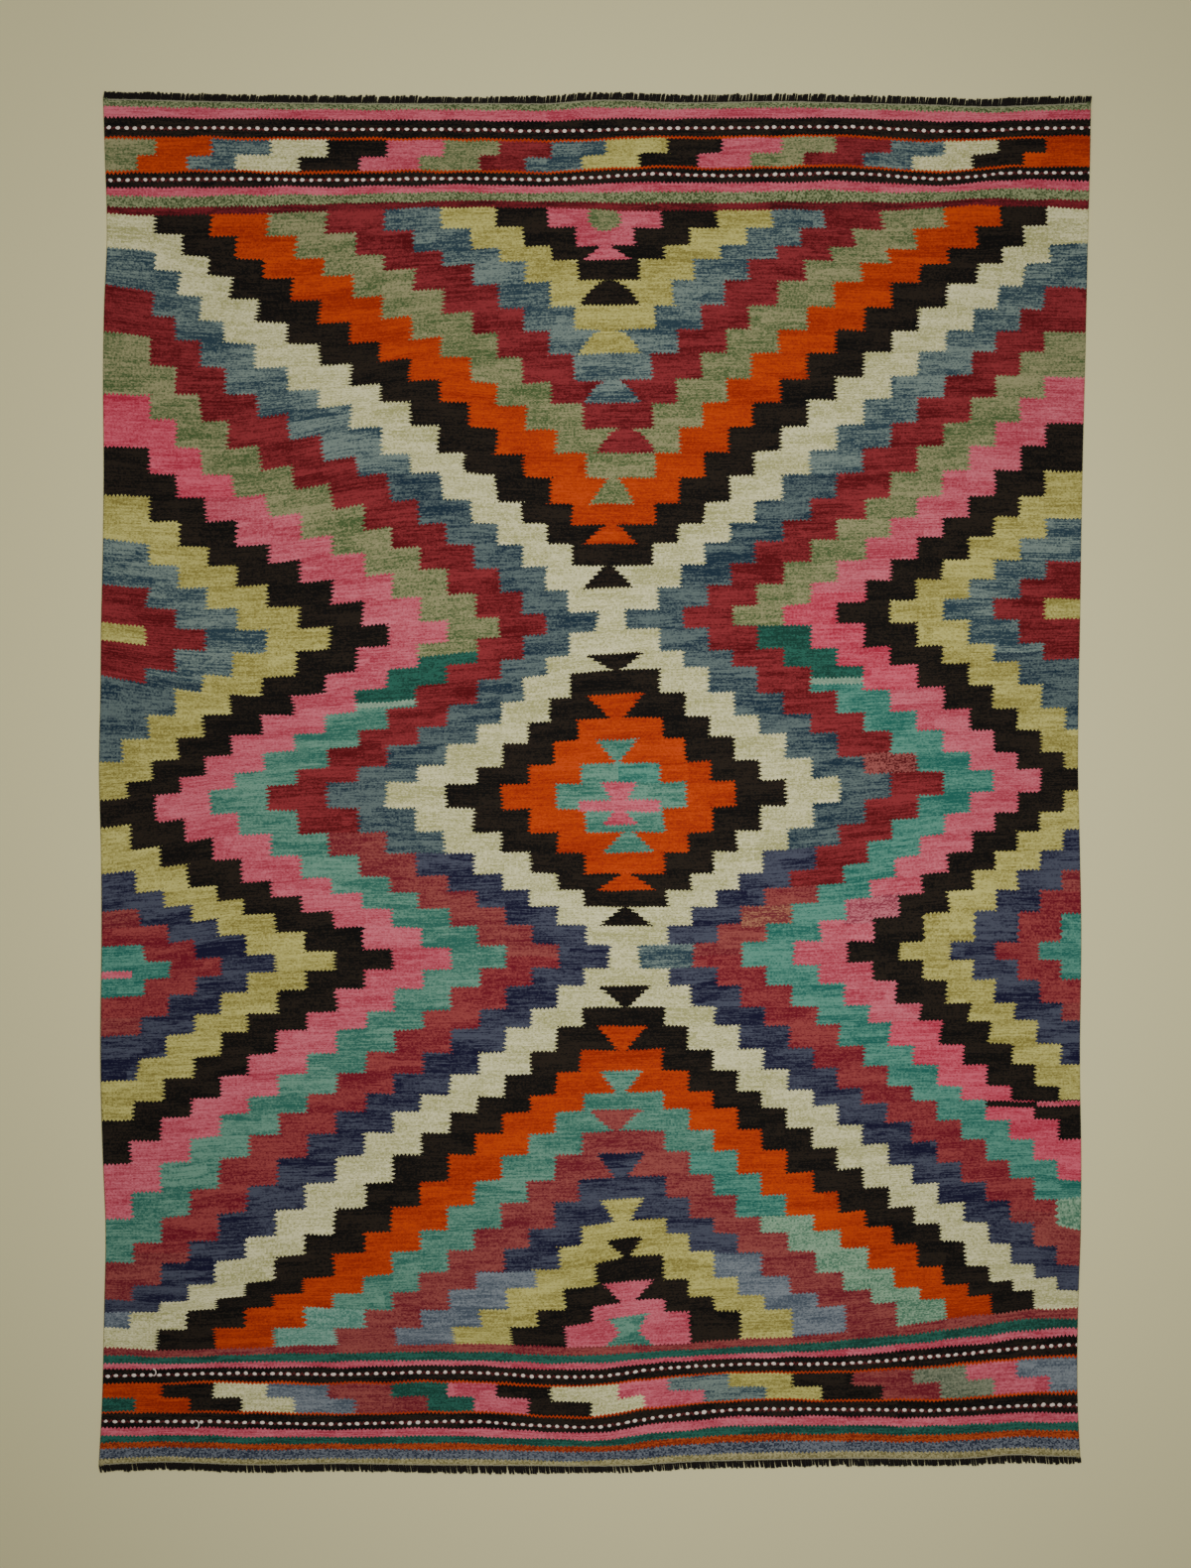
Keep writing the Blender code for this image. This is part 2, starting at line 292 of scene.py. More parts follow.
# Where the weaver used another yarn inside a band, or slipped one in: (dye, band, line where it
# starts and ends, then its sides as distances to the right of the pattern's middle)
ODD_PATCHES = (
    ("pale slate", 3, 49.05, 54, -FAR, FAR),
    ("deep slate", 9, 12, 29, -FAR, FAR),
    ("deep slate", 15, 20.5, 27, -FAR, FAR),
    ("bright teal", 11, 21.7, 47, 0, FAR),
    ("bright teal", 5, 22, 26, 0, FAR),
    ("bright teal", 5, 44, 47, 0, FAR),
    ("bright teal", 17, 30, 36, -FAR, FAR),
    ("deep pink", 12, 5, 12, -FAR, 0),
    ("deep pink", 12, 17.5, 22, 0, FAR),
    ("deep pink", 12, 38, 46, 0, FAR),
    ("deep rose", 10, 34.5, 47.5, -FAR, FAR),
    ("deep rose", 16, 32, 37, -FAR, FAR),
    ("forest", 11, 19.55, 21.62, -FAR, 0),
    ("pale sage", 11, 21.62, 21.9, -FAR, 0),
    ("forest", 11, 18.98, 21.45, 0, FAR),
    ("pale sage", 11, 21.45, 21.7, 0, FAR),
    ("gold rose", 4, 45.0, 46.6, -664, -568),
    ("gold rose", 10, 32.0, 33.2, 178, 256),
    ("flecked crimson", 10, 24.9, 26.0, 366, 452),
    ("hatched pink", 12, 31.9, 33.2, 332, 418),
    ("pale teal", 5, 51.0, 53.0, -530, -392),
    ("pale slate", 9, 51.0, 52.0, -795, -748),
    ("black", 12, 42.05, 42.38, 548, 627),
    ("rose", 10, 28, 31, -FAR, 0),
    ("pale green", 5, 47, 53, 0, FAR),
    ("pale green", 11, 47, 49, 0, FAR),
    ("pink", 13, 42.08, 42.32, 627, FAR),
    ("slate", 9, 34.0, 35.0, 20, 110),
)

# The figure in the middle block of every second row, from row 0 on: (dye, half-width of its foot,
# half-width of its tip, how domed it is, how far it stands to the right of the middle)
FIGURES = (
    ("pink", 0, 0, 0.0, 0), ("pink", 34, 4, 0.20, -1), ("black", 47, 4, 0.55, 0),
    ("khaki", 48, 6, 0.60, -3), ("slate", 43, 5, 0.60, -2), ("crimson", 45, 6, 0.60, 17),
    ("sage", 35, 6, 0.25, -2), ("orange", 40, 5, 0.20, -3), ("black", 38, 5, 0.25, -5),
    ("ivory", 24, 18, 0.00, -2), ("black", 43, 6, 0.25, 3), ("orange", 42, 10, 0.10, 1),
    ("teal", 31, 3, 0.10, 0), ("teal", 0, 0, 0.0, 0), ("teal", 39, 6, 0.15, 12),
    ("orange", 43, 5, 0.20, 6), ("black", 41, 4, 0.10, 4), ("ivory", 24, 21, 0.00, 0),
    ("black", 42, 3, 0.10, 2), ("orange", 39, 5, 0.10, -1), ("teal", 33, 5, 0.10, -3),
    ("rose", 40, 5, 0.10, -8), ("navy", 38, 9, 0.10, -2), ("khaki", 33, 12, 0.10, -1),
    ("black", 28, 6, 0.00, 2), ("pink", 38, 9, 0.10, 2), ("teal", 0, 0, 0.0, 0),
)
# Three figures have a shape of their own: (dye, line at which it starts and ends, and its outline
# as pairs of a share of that height and the half-width there)
OWN_FIGURES = (
    ("pink", 26, 27.68, ((0.0, 28), (0.38, 11), (0.40, 61), (0.67, 61), (0.68, 8), (1.0, 27))),
    ("teal", 52, 53, ((0.0, 33), (0.3, 20), (0.5, 15), (0.75, 22), (1.0, 38))),
    ("sage", 0, 1.2, ((0.0, 20), (0.2, 23), (0.5, 25), (0.8, 20), (0.97, 10), (1.0, 0))),
)
# A short bar in the lower side figure starts at the left selvedge: (dye, line, half of its height
# in lines, length)
SIDE_BAR = ("pink", 34.68, 0.2, 46.0)


# ---- Small tools ----
def linear(code, alpha=1.0):
    """An sRGB hex colour as linear light."""
    parts = [int(code[i : i + 2], 16) / 255 for i in (1, 3, 5)]
    return [p / 12.92 if p <= 0.04045 else ((p + 0.055) / 1.055) ** 2.4 for p in parts] + [alpha]


def column(rows, index):
    """One column of a table."""
    return [row[index] for row in rows]


def interval(stations, at):
    """For each place, the station before it and the share of the way from there to the next one."""
    before = np.clip(np.searchsorted(stations, at, side="right") - 1, 0, len(stations) - 2)
    return before, (at - stations[before]) / (stations[before + 1] - stations[before])


def straight_through(stations, values, at):
    """Straight lines through (station, value) pairs, carried on past both ends."""
    stations, values = np.asarray(stations, float), np.asarray(values, float)
    left, t = interval(stations, at)
    return values[left] * (1 - t) + values[left + 1] * t


def smooth_through(stations, values, at):
    """A smooth curve through (station, value) pairs, read at the given places: a cubic between each
    two neighbours, with the slope at each pair the mean of the slopes on its two sides."""
    stations, values = np.asarray(stations, float), np.asarray(values, float)
    if stations[0] > stations[-1]:
        stations, values = stations[::-1], values[::-1]
    slopes = np.gradient(values, stations)
    left, t = interval(stations, np.clip(at, stations[0], stations[-1]))
    span = stations[left + 1] - stations[left]
    return (
        (2 * t**3 - 3 * t**2 + 1) * values[left]
        + (t**3 - 2 * t**2 + t) * span * slopes[left]
        + (3 * t**2 - 2 * t**3) * values[left + 1]
        + (t**3 - t**2) * span * slopes[left + 1]
    )


def curve(table, index, at):
    """A column of a table as a smooth curve over the table's first column."""
    return smooth_through(column(table, 0), column(table, index), at)


def across(share, y):
    """X of the warp that stands at this share of the width, at height y."""
    return curve(SIDE_SECTIONS, 1, y) * (1 - share) + curve(SIDE_SECTIONS, 2, y) * share


def cloth_end(sections, x):
    return curve(sections, 1, x)


def stitch_end(sections, x):
    return curve(sections, 2, x)


def line_height(line, x):
    """Y of a weft line of the field: its height at the middle less its sag, which is a smooth curve
    across at each line of the table and a straight share between two of them."""
    tops = FIELD_TOP - np.concatenate([[0], np.cumsum(ROW_HEIGHTS)])
    k, t = interval(np.array(column(SAG, 0)), line)
    above, below = [smooth_through(SAG_X, row[1:], x) for row in SAG[k : k + 2]]
    return np.interp(line, np.arange(ROWS + 1), tops) - above * (1 - t) - below * t


def weft_height(line, x):
    """Y of any weft line: below 0 and above 53 the line number stands for depth in an end band,
    where the height is a straight share between the two guides on its sides."""
    if 0 <= line <= ROWS:
        return line_height(line, x)
    if line < 0:
        depths, depth = UPPER_DEPTHS, UPPER_DEPTHS[-1] + line * LINE_PITCH
        dots = curve(DOT_ROWS, 1, x), curve(DOT_ROWS, 2, x)
        guides = cloth_end(UPPER_SECTIONS, x), *dots, line_height(0, x)
    else:
        depths, depth = LOWER_DEPTHS, (line - ROWS) * LINE_PITCH
        dots = curve(DOT_ROWS, 3, x), curve(DOT_ROWS, 4, x)
        guides = line_height(ROWS, x), *dots, cloth_end(LOWER_SECTIONS, x)
    k, t = interval(np.array(depths), depth)
    return guides[k] * (1 - t) + guides[k + 1] * t


def swell(x, y):
    """How far the cloth rises off the floor where it doesn't lie quite flat: a few long, crossing
    waves, of which only the parts above a threshold lift it, by less than 2 mm."""
    wave = (
        np.sin(x / 173 + y / 410 + 0.7)
        + np.sin(y / 149 - x / 520 + 2.1)
        + 0.6 * np.sin((x + y) / 97 + 1.3)
    )
    return 0.9 * np.maximum(wave - 0.4, 0.0) ** 1.3


def face_height(x, y):
    """Height of the cloth's face between the selvedges."""
    return swell(x, y) + CLOTH_THICKNESS


def strip_faces(rows, columns, wrap_rows=False, wrap_columns=False):
    """Four-cornered faces over a grid of points that are numbered row by row."""
    r, c = np.meshgrid(
        np.arange(rows - 1 + wrap_rows), np.arange(columns - 1 + wrap_columns), indexing="ij"
    )
    r1, c1 = (r + 1) % rows, (c + 1) % columns
    corners = [r * columns + c, r * columns + c1, r1 * columns + c1, r1 * columns + c]
    return np.stack(corners, axis=-1).reshape(-1, 4)


def repeat(faces, copies):
    """The points and faces of many copies of one small shape, whose own points are (copy, point, 3)."""
    count, size = copies.shape[:2]
    starts = np.arange(count)[:, None, None] * size
    return copies.reshape(-1, 3), (faces + starts).reshape(-1, 4)


def round_angles(sides):
    """Angles of the points of a ring."""
    return np.arange(sides) / sides * 2 * np.pi


def make_piece(name, points, faces, material, attributes=None, more_faces=()):
    """A mesh from points in millimetres and four-cornered faces, with its vector attributes. More
    faces may follow that have other numbers of corners."""
    points = (np.asarray(points, float).reshape(-1, 3) + TO_BOX_MIDDLE) * MM
    points[:, 2] = np.maximum(points[:, 2], 0.0)
    mesh = bpy.data.meshes.new(name)
    every_face = [face for group in (faces, *more_faces) for face in group.tolist()]
    mesh.from_pydata(points.tolist(), [], every_face)
    mesh.shade_smooth()
    for key, values in (attributes or {}).items():
        layer = mesh.attributes.new(key, "FLOAT_VECTOR", "POINT")
        layer.data.foreach_set("vector", np.asarray(values, np.float32).ravel())
    mesh.materials.append(material)
    mesh.validate()
    piece = bpy.data.objects.new(name, mesh)
    bpy.context.scene.collection.objects.link(piece)
    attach(piece, "root")
    return piece


# ---- Materials ----
def feed(socket, value):
    """Links an input to a socket or to a node's first active output, or sets it to a plain value."""
    if isinstance(value, bpy.types.Node):
        value = next(s for s in value.outputs if s.enabled)
    if isinstance(value, bpy.types.NodeSocket):
        socket.id_data.links.new(value, socket)
    else:
        socket.default_value = value


def add_node(tree, kind, *inputs, **settings):
    """Adds a node, sets its settings, and feeds its active inputs in order. The kind may name an
    operation after a dot. None leaves an input as it is."""
    kind, _, operation = kind.partition(".")
    node = tree.nodes.new("ShaderNode" + kind)
    if operation:
        node.operation = operation
    for key, value in settings.items():
        setattr(node, key, value)
    for socket, value in zip([s for s in node.inputs if s.enabled], inputs):
        if value is not None:
            feed(socket, value)
    return node


def set_steps(ramp, colours, starts=None, interpolation="CONSTANT"):
    """Makes a colour ramp hold these colours, in even steps or from the given shares of the ramp."""
    count = len(colours)
    starts = starts or [i / count for i in range(count)]
    ramp.color_ramp.interpolation = interpolation
    elements = ramp.color_ramp.elements
    while len(elements) < count:
        elements.new(1.0)
    for element, start, colour in zip(elements, starts, colours):
        element.position = start
        element.color = colour
    return ramp


def look_up(node, share, rows, starts=None, interpolation="CONSTANT"):
    """The three numbers of the table row that a share of the whole table falls in."""
    ramp = node("ValToRGB", share)
    set_steps(ramp, [(*row, 1.0) for row in rows], starts, interpolation)
    return node("SeparateColor", ramp).outputs


def middle_and_reach(first, last):
    """A stretch as its middle and its reach to both sides, which is how a node compares with it."""
    return (first + last) / 2, (last - first) / 2


def new_material(name, roughness, sheen=0.0):
    """A material whose one shader is opaque fibre, with its even values set on the shader."""
    material = bpy.data.materials.new(name)
    material.use_nodes = True
    shader = material.node_tree.nodes["Principled BSDF"]
    shader.inputs["Roughness"].default_value = roughness
    shader.inputs["Specular IOR Level"].default_value = 0.25
    shader.inputs["IOR"].default_value = 1.5
    shader.inputs["Sheen Weight"].default_value = sheen
    shader.inputs["Sheen Roughness"].default_value = 0.4
    return material, shader, partial(add_node, material.node_tree)


def chance(node, place, scale, swing, dimensions="2D"):
    """A smooth chance value about zero, mostly within half the swing: noise over a place that is
    first stretched along each axis."""
    place = node("VectorMath.MULTIPLY", place, scale)
    noise = node("TexNoise", place, 1.0, 1.0, noise_dimensions=dimensions)
    return node("Math.MULTIPLY_ADD", noise, swing, -swing / 2)


STEP_WIDTH = 42.0  # a block step's usual width in the field
BLOCK_WIDTH = 86.0  # a stepped block's usual width in the end bands
WARP_PAIR = 4.5  # two warps
# A row of the picks' painted shade is two picks high.
PICK_SHADE_HEIGHT = 1.5  # two picks
# The real teeth stand at every second warp, 4.5 mm apart. They are drawn at 6 mm and a little
# longer, because finer ones fall between the picture's points and don't show.
TOOTH_PITCH = 6.0
DOT_PITCH = 13.2
DOT_HALF_LENGTH = 2.9  # of a dot as the weave shows it, without its float
DOT_HALF_HEIGHT = 2.0
LINE_SCALE = 64.0  # ramps hold line numbers as shares of this
FIGURE_SCALE = 64.0  # and a figure's half-width and shift, in millimetres, as shares of this


def join_teeth(node, yarn, warp, pick):
    """How far the joins stray along the weft and along the warps, in millimetres. Along the weft the
    last pick of one colour locks with the first of the next over every second warp. Along a warp the
    two colours turn round it in turns, unevenly."""
    teeth = [node("Math.PINGPONG", at, TOOTH_PITCH / 2) for at in (warp, pick)]
    rise, along = [node("Math.SUBTRACT", tooth, TOOTH_PITCH / 4) for tooth in teeth]
    uneven = node("TexNoise", yarn, 0.16, 1.0, noise_dimensions="2D")
    uneven = node("Math.MULTIPLY_ADD", uneven, 4.5, 0.1)
    push = chance(node, yarn, (0.3, 0.3, 1.0), 5.0)
    along = node("Math.MULTIPLY_ADD", along, uneven, push)
    drift = chance(node, yarn, (0.022, 0.022, 1.0), 7.0)
    along = node("Math.ADD", along, drift)
    rise = node("Math.MULTIPLY_ADD", push, 0.35, rise)
    ripple = chance(node, yarn, (0.016, 0.05, 0.0), 5.0)
    return along, node("Math.ADD", ripple, rise)


def nested_band(node, line, side_steps):
    """The row of blocks, and the number of the band in the nested diamonds: the count of rows, which
    rises to each peak and falls between them, plus the steps from the middle, halved."""
    row = node("Clamp", node("Math.FLOOR", line), 0.0, ROWS - 1.0)
    from_end = node("Math.SUBTRACT", ROWS - 1.0, row)
    from_end = node("Math.MINIMUM", row, from_end)
    down = node("Math.SUBTRACT", 2.0 * UPPER_PEAK, row)
    up = node("Math.SUBTRACT", row, 2.0 * (WAIST - UPPER_PEAK))
    count = node("Math.MINIMUM", from_end, node("Math.MAXIMUM", down, up))
    wider = node("Math.GREATER_THAN", line, WIDER_FROM)
    most = node("Math.ADD", wider, MOST_STEPS)
    steps = node("Clamp", node("Math.FLOOR", side_steps), 0.0, most)
    band = node("Math.MULTIPLY", node("Math.ADD", count, steps), 0.5)
    return row, node("Math.FLOOR", band)


def field_dye(node, line, band, from_middle):
    """The dye of a band, whose lot changes at one line, or that of an odd patch in it."""
    share = node("Math.MULTIPLY_ADD", band, 1 / len(BANDS), 0.5 / len(BANDS))
    lots = [(DYE_SHARE[above], DYE_SHARE[below], at / LINE_SCALE) for above, below, at in BANDS]
    above, below, change = look_up(node, share, lots)
    change = node("Math.MULTIPLY", change, LINE_SCALE)
    changed = node("Math.GREATER_THAN", line, change)
    dye = node("Mix", changed, above, below)
    for name, number, first, last, left, right in ODD_PATCHES:
        here = node("Math.COMPARE", band, float(number), 0.5)
        near = node("Math.COMPARE", line, *middle_and_reach(first, last))
        here = node("Math.MULTIPLY", here, near)
        near = node("Math.COMPARE", from_middle, *middle_and_reach(left, right))
        here = node("Math.MULTIPLY", here, near)
        dye = node("Mix", here, dye, DYE_SHARE[name])
    return dye


def figure_growth(node, line, row):
    """The share of a middle figure's height between its tip and a point. The tip points up in the
    rows where the count of rows rises."""
    height = node("Math.SUBTRACT", line, row)
    turned = node("Math.SUBTRACT", 1.0, height)
    upper = node("Math.LESS_THAN", row, UPPER_PEAK + 0.5)
    lower = node("Math.COMPARE", row, *middle_and_reach(WAIST + 0.5, LOWER_PEAK + 0.5))
    tip_up = node("Math.MAXIMUM", upper, lower)
    return node("Mix", tip_up, turned, height)


def middle_figures(node, dye, line, row, from_middle, along):
    """Lays the figures down the middle over the dye. Their half-width grows from tip to foot, in a
    straight line or as a dome, and only every second row has one."""
    share = node("Math.MULTIPLY_ADD", row, 0.5 / len(FIGURES), 0.25 / len(FIGURES))
    shapes = [(foot / FIGURE_SCALE, tip / FIGURE_SCALE, domed) for _, foot, tip, domed, _ in FIGURES]
    foot, tip, domed = look_up(node, share, shapes)
    places = [(DYE_SHARE[row[0]], row[-1] / FIGURE_SCALE + 0.5, 0.0) for row in FIGURES]
    figure_dye, right, _ = look_up(node, share, places)
    grown = figure_growth(node, line, row)
    rest = node("Math.SUBTRACT", 1.0, grown)
    dome = node("Math.SUBTRACT", 1.0, node("Math.MULTIPLY", rest, rest))
    dome = node("Math.SQRT", node("Math.MAXIMUM", dome, 0.0))
    flare = node("Math.POWER", node("Math.MAXIMUM", grown, 0.0), 1.15)
    profile = node("Mix", domed, flare, dome)
    half = node("Mix", profile, tip, foot)
    half = node("Math.MULTIPLY", half, FIGURE_SCALE)
    shift = node("Math.MULTIPLY_ADD", right, FIGURE_SCALE, -FIGURE_SCALE / 2)
    aside = node("Math.SUBTRACT", from_middle, shift)
    aside = node("Math.ADD", node("Math.ABSOLUTE", aside), along)
    inside = node("Math.GREATER_THAN", half, aside)
    even = node("Math.LESS_THAN", node("Math.MODULO", row, 2.0), 0.5)
    inside = node("Math.MULTIPLY", inside, even)
    return node("Mix", inside, dye, figure_dye)


def own_figures(node, dye, line, warp, from_middle, along):
    """Lays over the dye the figures that have a shape of their own, as half-width against height,
    and the short bar that starts at the left selvedge."""
    aside = node("Math.ADD", node("Math.ABSOLUTE", from_middle), along)
    for name, first, last, outline in OWN_FIGURES:
        height = node("MapRange", line, first, last, 0.0, 1.0)
        halves = [(half / FIGURE_SCALE, 0.0, 0.0) for _, half in outline]
        half = look_up(node, height, halves, column(outline, 0), "LINEAR")[0]
        half = node("Math.MULTIPLY", half, FIGURE_SCALE)
        inside = node("Math.GREATER_THAN", half, aside)
        near = node("Math.COMPARE", line, *middle_and_reach(first, last))
        inside = node("Math.MULTIPLY", inside, near)
        dye = node("Mix", inside, dye, DYE_SHARE[name])
    name, middle, half_height, length = SIDE_BAR
    near = node("Math.COMPARE", line, middle, half_height)
    bar = node("Math.MULTIPLY", near, node("Math.LESS_THAN", warp, length))
    return node("Mix", bar, dye, DYE_SHARE[name])


def end_band_dye(node, line, outer_count, inner_count, along):
    """The dye in an end band: that of a stripe by its depth, or else that of a stepped block."""
    stripes = []
    for table, total, start in (
        (UPPER_STRIPES, UPPER_DEPTHS[-1], -UPPER_DEPTHS[-1] / LINE_PITCH),
        (LOWER_STRIPES, LOWER_DEPTHS[-1], float(ROWS)),
    ):
        depth = node("MapRange", line, start, start + total / LINE_PITCH, 0.0, 1.0)
        colours = [
            (DYE_SHARE.get(name, 0.0), float(name == "outer"), float(name == "inner"), 1.0)
            for name, _ in table
        ]
        starts = [0.0, *(end / total for _, end in table[:-1])]
        stripes.append(set_steps(node("ValToRGB", depth), colours, starts))
    below_field = node("Math.GREATER_THAN", line, float(ROWS))
    stripe = node("Mix", below_field, *stripes, data_type="RGBA")
    stripe_dye, is_outer, is_inner = node("SeparateColor", stripe).outputs
    count = node("Mix", is_inner, outer_count, inner_count)
    count = node("Math.MULTIPLY_ADD", along, 1 / BLOCK_WIDTH, count)
    share = node("Math.MULTIPLY", count, 1 / len(UPPER_BLOCKS))
    blocks = [(DYE_SHARE[a], DYE_SHARE[b], 0.0) for a, b in zip(UPPER_BLOCKS, LOWER_BLOCKS)]
    block_dye = node("Mix", below_field, *look_up(node, share, blocks)[:2])
    stepped = node("Math.ADD", is_outer, is_inner)
    return node("Mix", stepped, stripe_dye, block_dye)


def dotted_thread(node, dye, line, warp):
    """Lays white ovals over the dark thread. On the face each one is also a raised float."""
    dot = node("Math.FRACT", node("Math.MULTIPLY", warp, 1 / DOT_PITCH))
    pitch = DOT_PITCH / DOT_HALF_LENGTH
    dot = node("Math.MULTIPLY_ADD", dot, pitch, -pitch / 2)
    lines = [(depth - UPPER_DEPTHS[-1]) / LINE_PITCH for depth in UPPER_DEPTHS[1:3]]
    lines += [ROWS + depth / LINE_PITCH for depth in LOWER_DEPTHS[1:3]]
    for dot_line in lines:
        off = node("Math.SUBTRACT", line, dot_line)
        off = node("Math.MULTIPLY", off, LINE_PITCH / DOT_HALF_HEIGHT)
        reach = node("VectorMath.LENGTH", node("CombineXYZ", dot, off, 0.0))
        spot = node("Math.LESS_THAN", reach, 1.0)
        dye = node("Mix", spot, dye, DYE_SHARE["white"])
    return dye


LOT_LENGTH, LOT_HEIGHT = 95.0, 17.0  # how far a lot of yarn usually reaches along and across the weft
# (length along the weft, height, how much the shade varies)
STREAKS = ((LOT_LENGTH / 0.6, LOT_HEIGHT / 0.55, 1.8), (60.0, 2.4, 2.6), (17.0, 1.8, 2.0))
DYE_SEED, BAND_SEED = 97.0, 7.31  # steps in the noise that part the lots of two dyes or bands


def abrash(node, dye, band, warp, pick):
    """How far a dye's shade strays: every band has its own lots of yarn, which change at once where
    a new one is laid in, and streaks a pick or two high along the weft."""
    lot = node("Math.MULTIPLY", band, BAND_SEED)
    lot = node("Math.MULTIPLY_ADD", dye, DYE_SEED, lot)
    along = node("Math.MULTIPLY", warp, 1 / LOT_LENGTH)
    up = node("Math.MULTIPLY", pick, 1 / LOT_HEIGHT)
    place = node("CombineXYZ", along, up, lot)
    lots = node("TexVoronoi", place, 1.0, distance="CHEBYCHEV").outputs["Color"]
    shade = node("SeparateColor", lots).outputs[0]
    shade = node("Math.MULTIPLY_ADD", shade, 0.9, -0.45)
    for length, height, swing in STREAKS:
        size = (LOT_LENGTH / length, LOT_HEIGHT / height, 1.0)
        shade = node("Math.ADD", chance(node, place, size, swing, "3D"), shade)
    return shade


def pick_shade_and_specks(node, yarn, warp, pick):
    """Two kinds of fine grain: painted shade over the single picks, which pass over every second warp,
    drawn two picks high, as finer ones don't show, and the chance light and dark of yarn that isn't
    spun evenly. The picks' wave is also their relief."""
    pick_row = node("Math.MULTIPLY", pick, 1 / PICK_SHADE_HEIGHT)
    brick = node("Math.MULTIPLY", node("Math.FLOOR", pick_row), 0.5)
    brick = node("Math.MULTIPLY_ADD", warp, 1 / WARP_PAIR, brick)
    # The picks' wave: painted shade in the colour, and relief in the bump.
    pick_shade = node("Math.SINE", node("Math.MULTIPLY", brick, 2 * np.pi))
    speck = chance(node, yarn, (0.34, 0.5, 1.0), 2.0)
    knots = node("VectorMath.MULTIPLY", yarn, (1 / 2.6, 1 / 1.9, 1.0))
    knots = node("TexWhiteNoise", node("VectorMath.FLOOR", knots), noise_dimensions="2D")
    knots = node("Math.MULTIPLY_ADD", knots, 1.5, -0.75)
    return pick_shade, node("Math.ADD", knots, speck)


def dyed_wool():
    """Dyed wool, weft-faced tapestry weave. The weft is packed so close that it hides the warps, so
    every block is one dye lot, with streaks along the weft where the lot changes a little (abrash),
    a fine grain of painted shade over the single picks and of specks in the yarn, and toothed
    joins. Matte, with a faint woolly sheen.

    The pattern isn't stored as a picture. The cloth carries its block count and line number at every
    point, and the nodes work out from them which band of the nested diamonds a point is in."""
    material, shader, node = new_material("dyed wool tapestry weave", 0.9, 0.12)
    charts = [
        node("Attribute", attribute_name=name).outputs["Vector"]
        for name in ("field_chart", "end_chart", "thread")
    ]
    yarn = charts[-1]
    (left, right, smooth_line), (outer, inner, from_middle), (warp, pick, _) = [
        node("SeparateXYZ", chart).outputs for chart in charts
    ]
    along, rise = join_teeth(node, yarn, warp, pick)
    line = node("Math.MULTIPLY_ADD", rise, 1 / LINE_PITCH, smooth_line)
    side_steps = node("Math.MAXIMUM", left, right)
    side_steps = node("Math.MULTIPLY_ADD", along, 1 / STEP_WIDTH, side_steps)

    row, band = nested_band(node, line, side_steps)
    dye = field_dye(node, line, band, from_middle)
    dye = middle_figures(node, dye, line, row, from_middle, along)
    dye = own_figures(node, dye, line, warp, from_middle, along)
    end_dye = end_band_dye(node, line, outer, inner, along)
    in_field = node("Math.COMPARE", line, ROWS / 2, ROWS / 2)
    dye = node("Mix", in_field, end_dye, dye)
    dye = dotted_thread(node, dye, smooth_line, warp)

    # From the dye's number to its darkest and its lightest shade. Their alphas are the shares of
    #     the streaks and of the fine grain in that yarn: painted shade over the picks, and specks.
    share = node("Math.MULTIPLY_ADD", dye, DYE_SCALE / len(DYES), 0.5 / len(DYES))
    darkest = node("ValToRGB", share)
    lightest = node("ValToRGB", share)
    set_steps(darkest, [linear(dark, streaks) for _, dark, _, streaks, _ in DYES])
    set_steps(lightest, [linear(light, pick_shade) for _, _, light, _, pick_shade in DYES])
    pick_shade, speck = pick_shade_and_specks(node, yarn, warp, pick)
    shade = abrash(node, dye, band, warp, pick)
    shade = node("Math.MULTIPLY", shade, darkest.outputs["Alpha"])
    # Painted shade of the picks, with the yarn's specks, in this yarn's share.
    fine = node("Math.MULTIPLY_ADD", pick_shade, 0.12, speck)
    shade = node("Math.MULTIPLY_ADD", fine, lightest.outputs["Alpha"], shade)
    shade = node("Math.ADD", shade, 0.5)
    feed(shader.inputs["Base Color"], node("Mix", shade, darkest, lightest, data_type="RGBA"))

    # Relief: a rib over every warp, crossed by the picks.
    rib = node("Math.MULTIPLY", warp, 2 * np.pi / (WARP_PAIR / 2))
    rib = node("Math.COSINE", rib)
    relief = node("Math.MULTIPLY", pick_shade, 0.3)
    relief = node("Math.MULTIPLY_ADD", rib, 0.25, relief)
    relief = node("Math.MULTIPLY_ADD", speck, 0.35, relief)
    feed(shader.inputs["Normal"], node("Bump", 0.5, 0.25 * MM, None, relief))
    feed(shader.inputs["Roughness"], node("Math.MULTIPLY_ADD", speck, 0.05, 0.9))
    return material


def spun_yarn(name, code, roughness):
    """Loosely spun wool yarn: one even colour, matte, with a faint sheen and the relief of its
    fibres, which takes the shine off the single stitches."""
    material, shader, node = new_material(name, roughness, 0.1)
    shader.inputs["Base Color"].default_value = linear(code)
    fibres = node("TexNoise", node("TexCoord").outputs["Object"], 900.0, 3.0)
    feed(shader.inputs["Normal"], node("Bump", 0.6, 0.2 * MM, None, fibres))
    return material


# ---- The cloth ----
COLUMNS = 142  # between the selvedges
# A row of blocks has three rows of points, two of them just inside its edges, so that its joins
# stand straight up even where the next row's lie elsewhere.
ROW_SHARES = np.array([0.02, 0.5, 0.98])
UPPER_CELLS = (7, 12, 8)  # rows of points between two depths of the upper end band
LOWER_CELLS = (7, 12, 10)


def from_side(shares):
    """How far a warp stands from the nearer side."""
    return np.minimum(shares, 1 - shares) * WARP_SPREAD


def cloth_depth(shares):
    """The cloth's thickness: even between the selvedges, and over each selvedge a bead that rises to
    its full thickness and rounds off at the outermost warp."""
    bead = np.interp(
        from_side(shares), [0, 1.4, 3.0, 5.4, SELVEDGE_WIDTH], [0.25, 0.85, 1.0, 0.85, 0.0]
    )
    return CLOTH_THICKNESS + (SELVEDGE_THICKNESS - CLOTH_THICKNESS) * bead


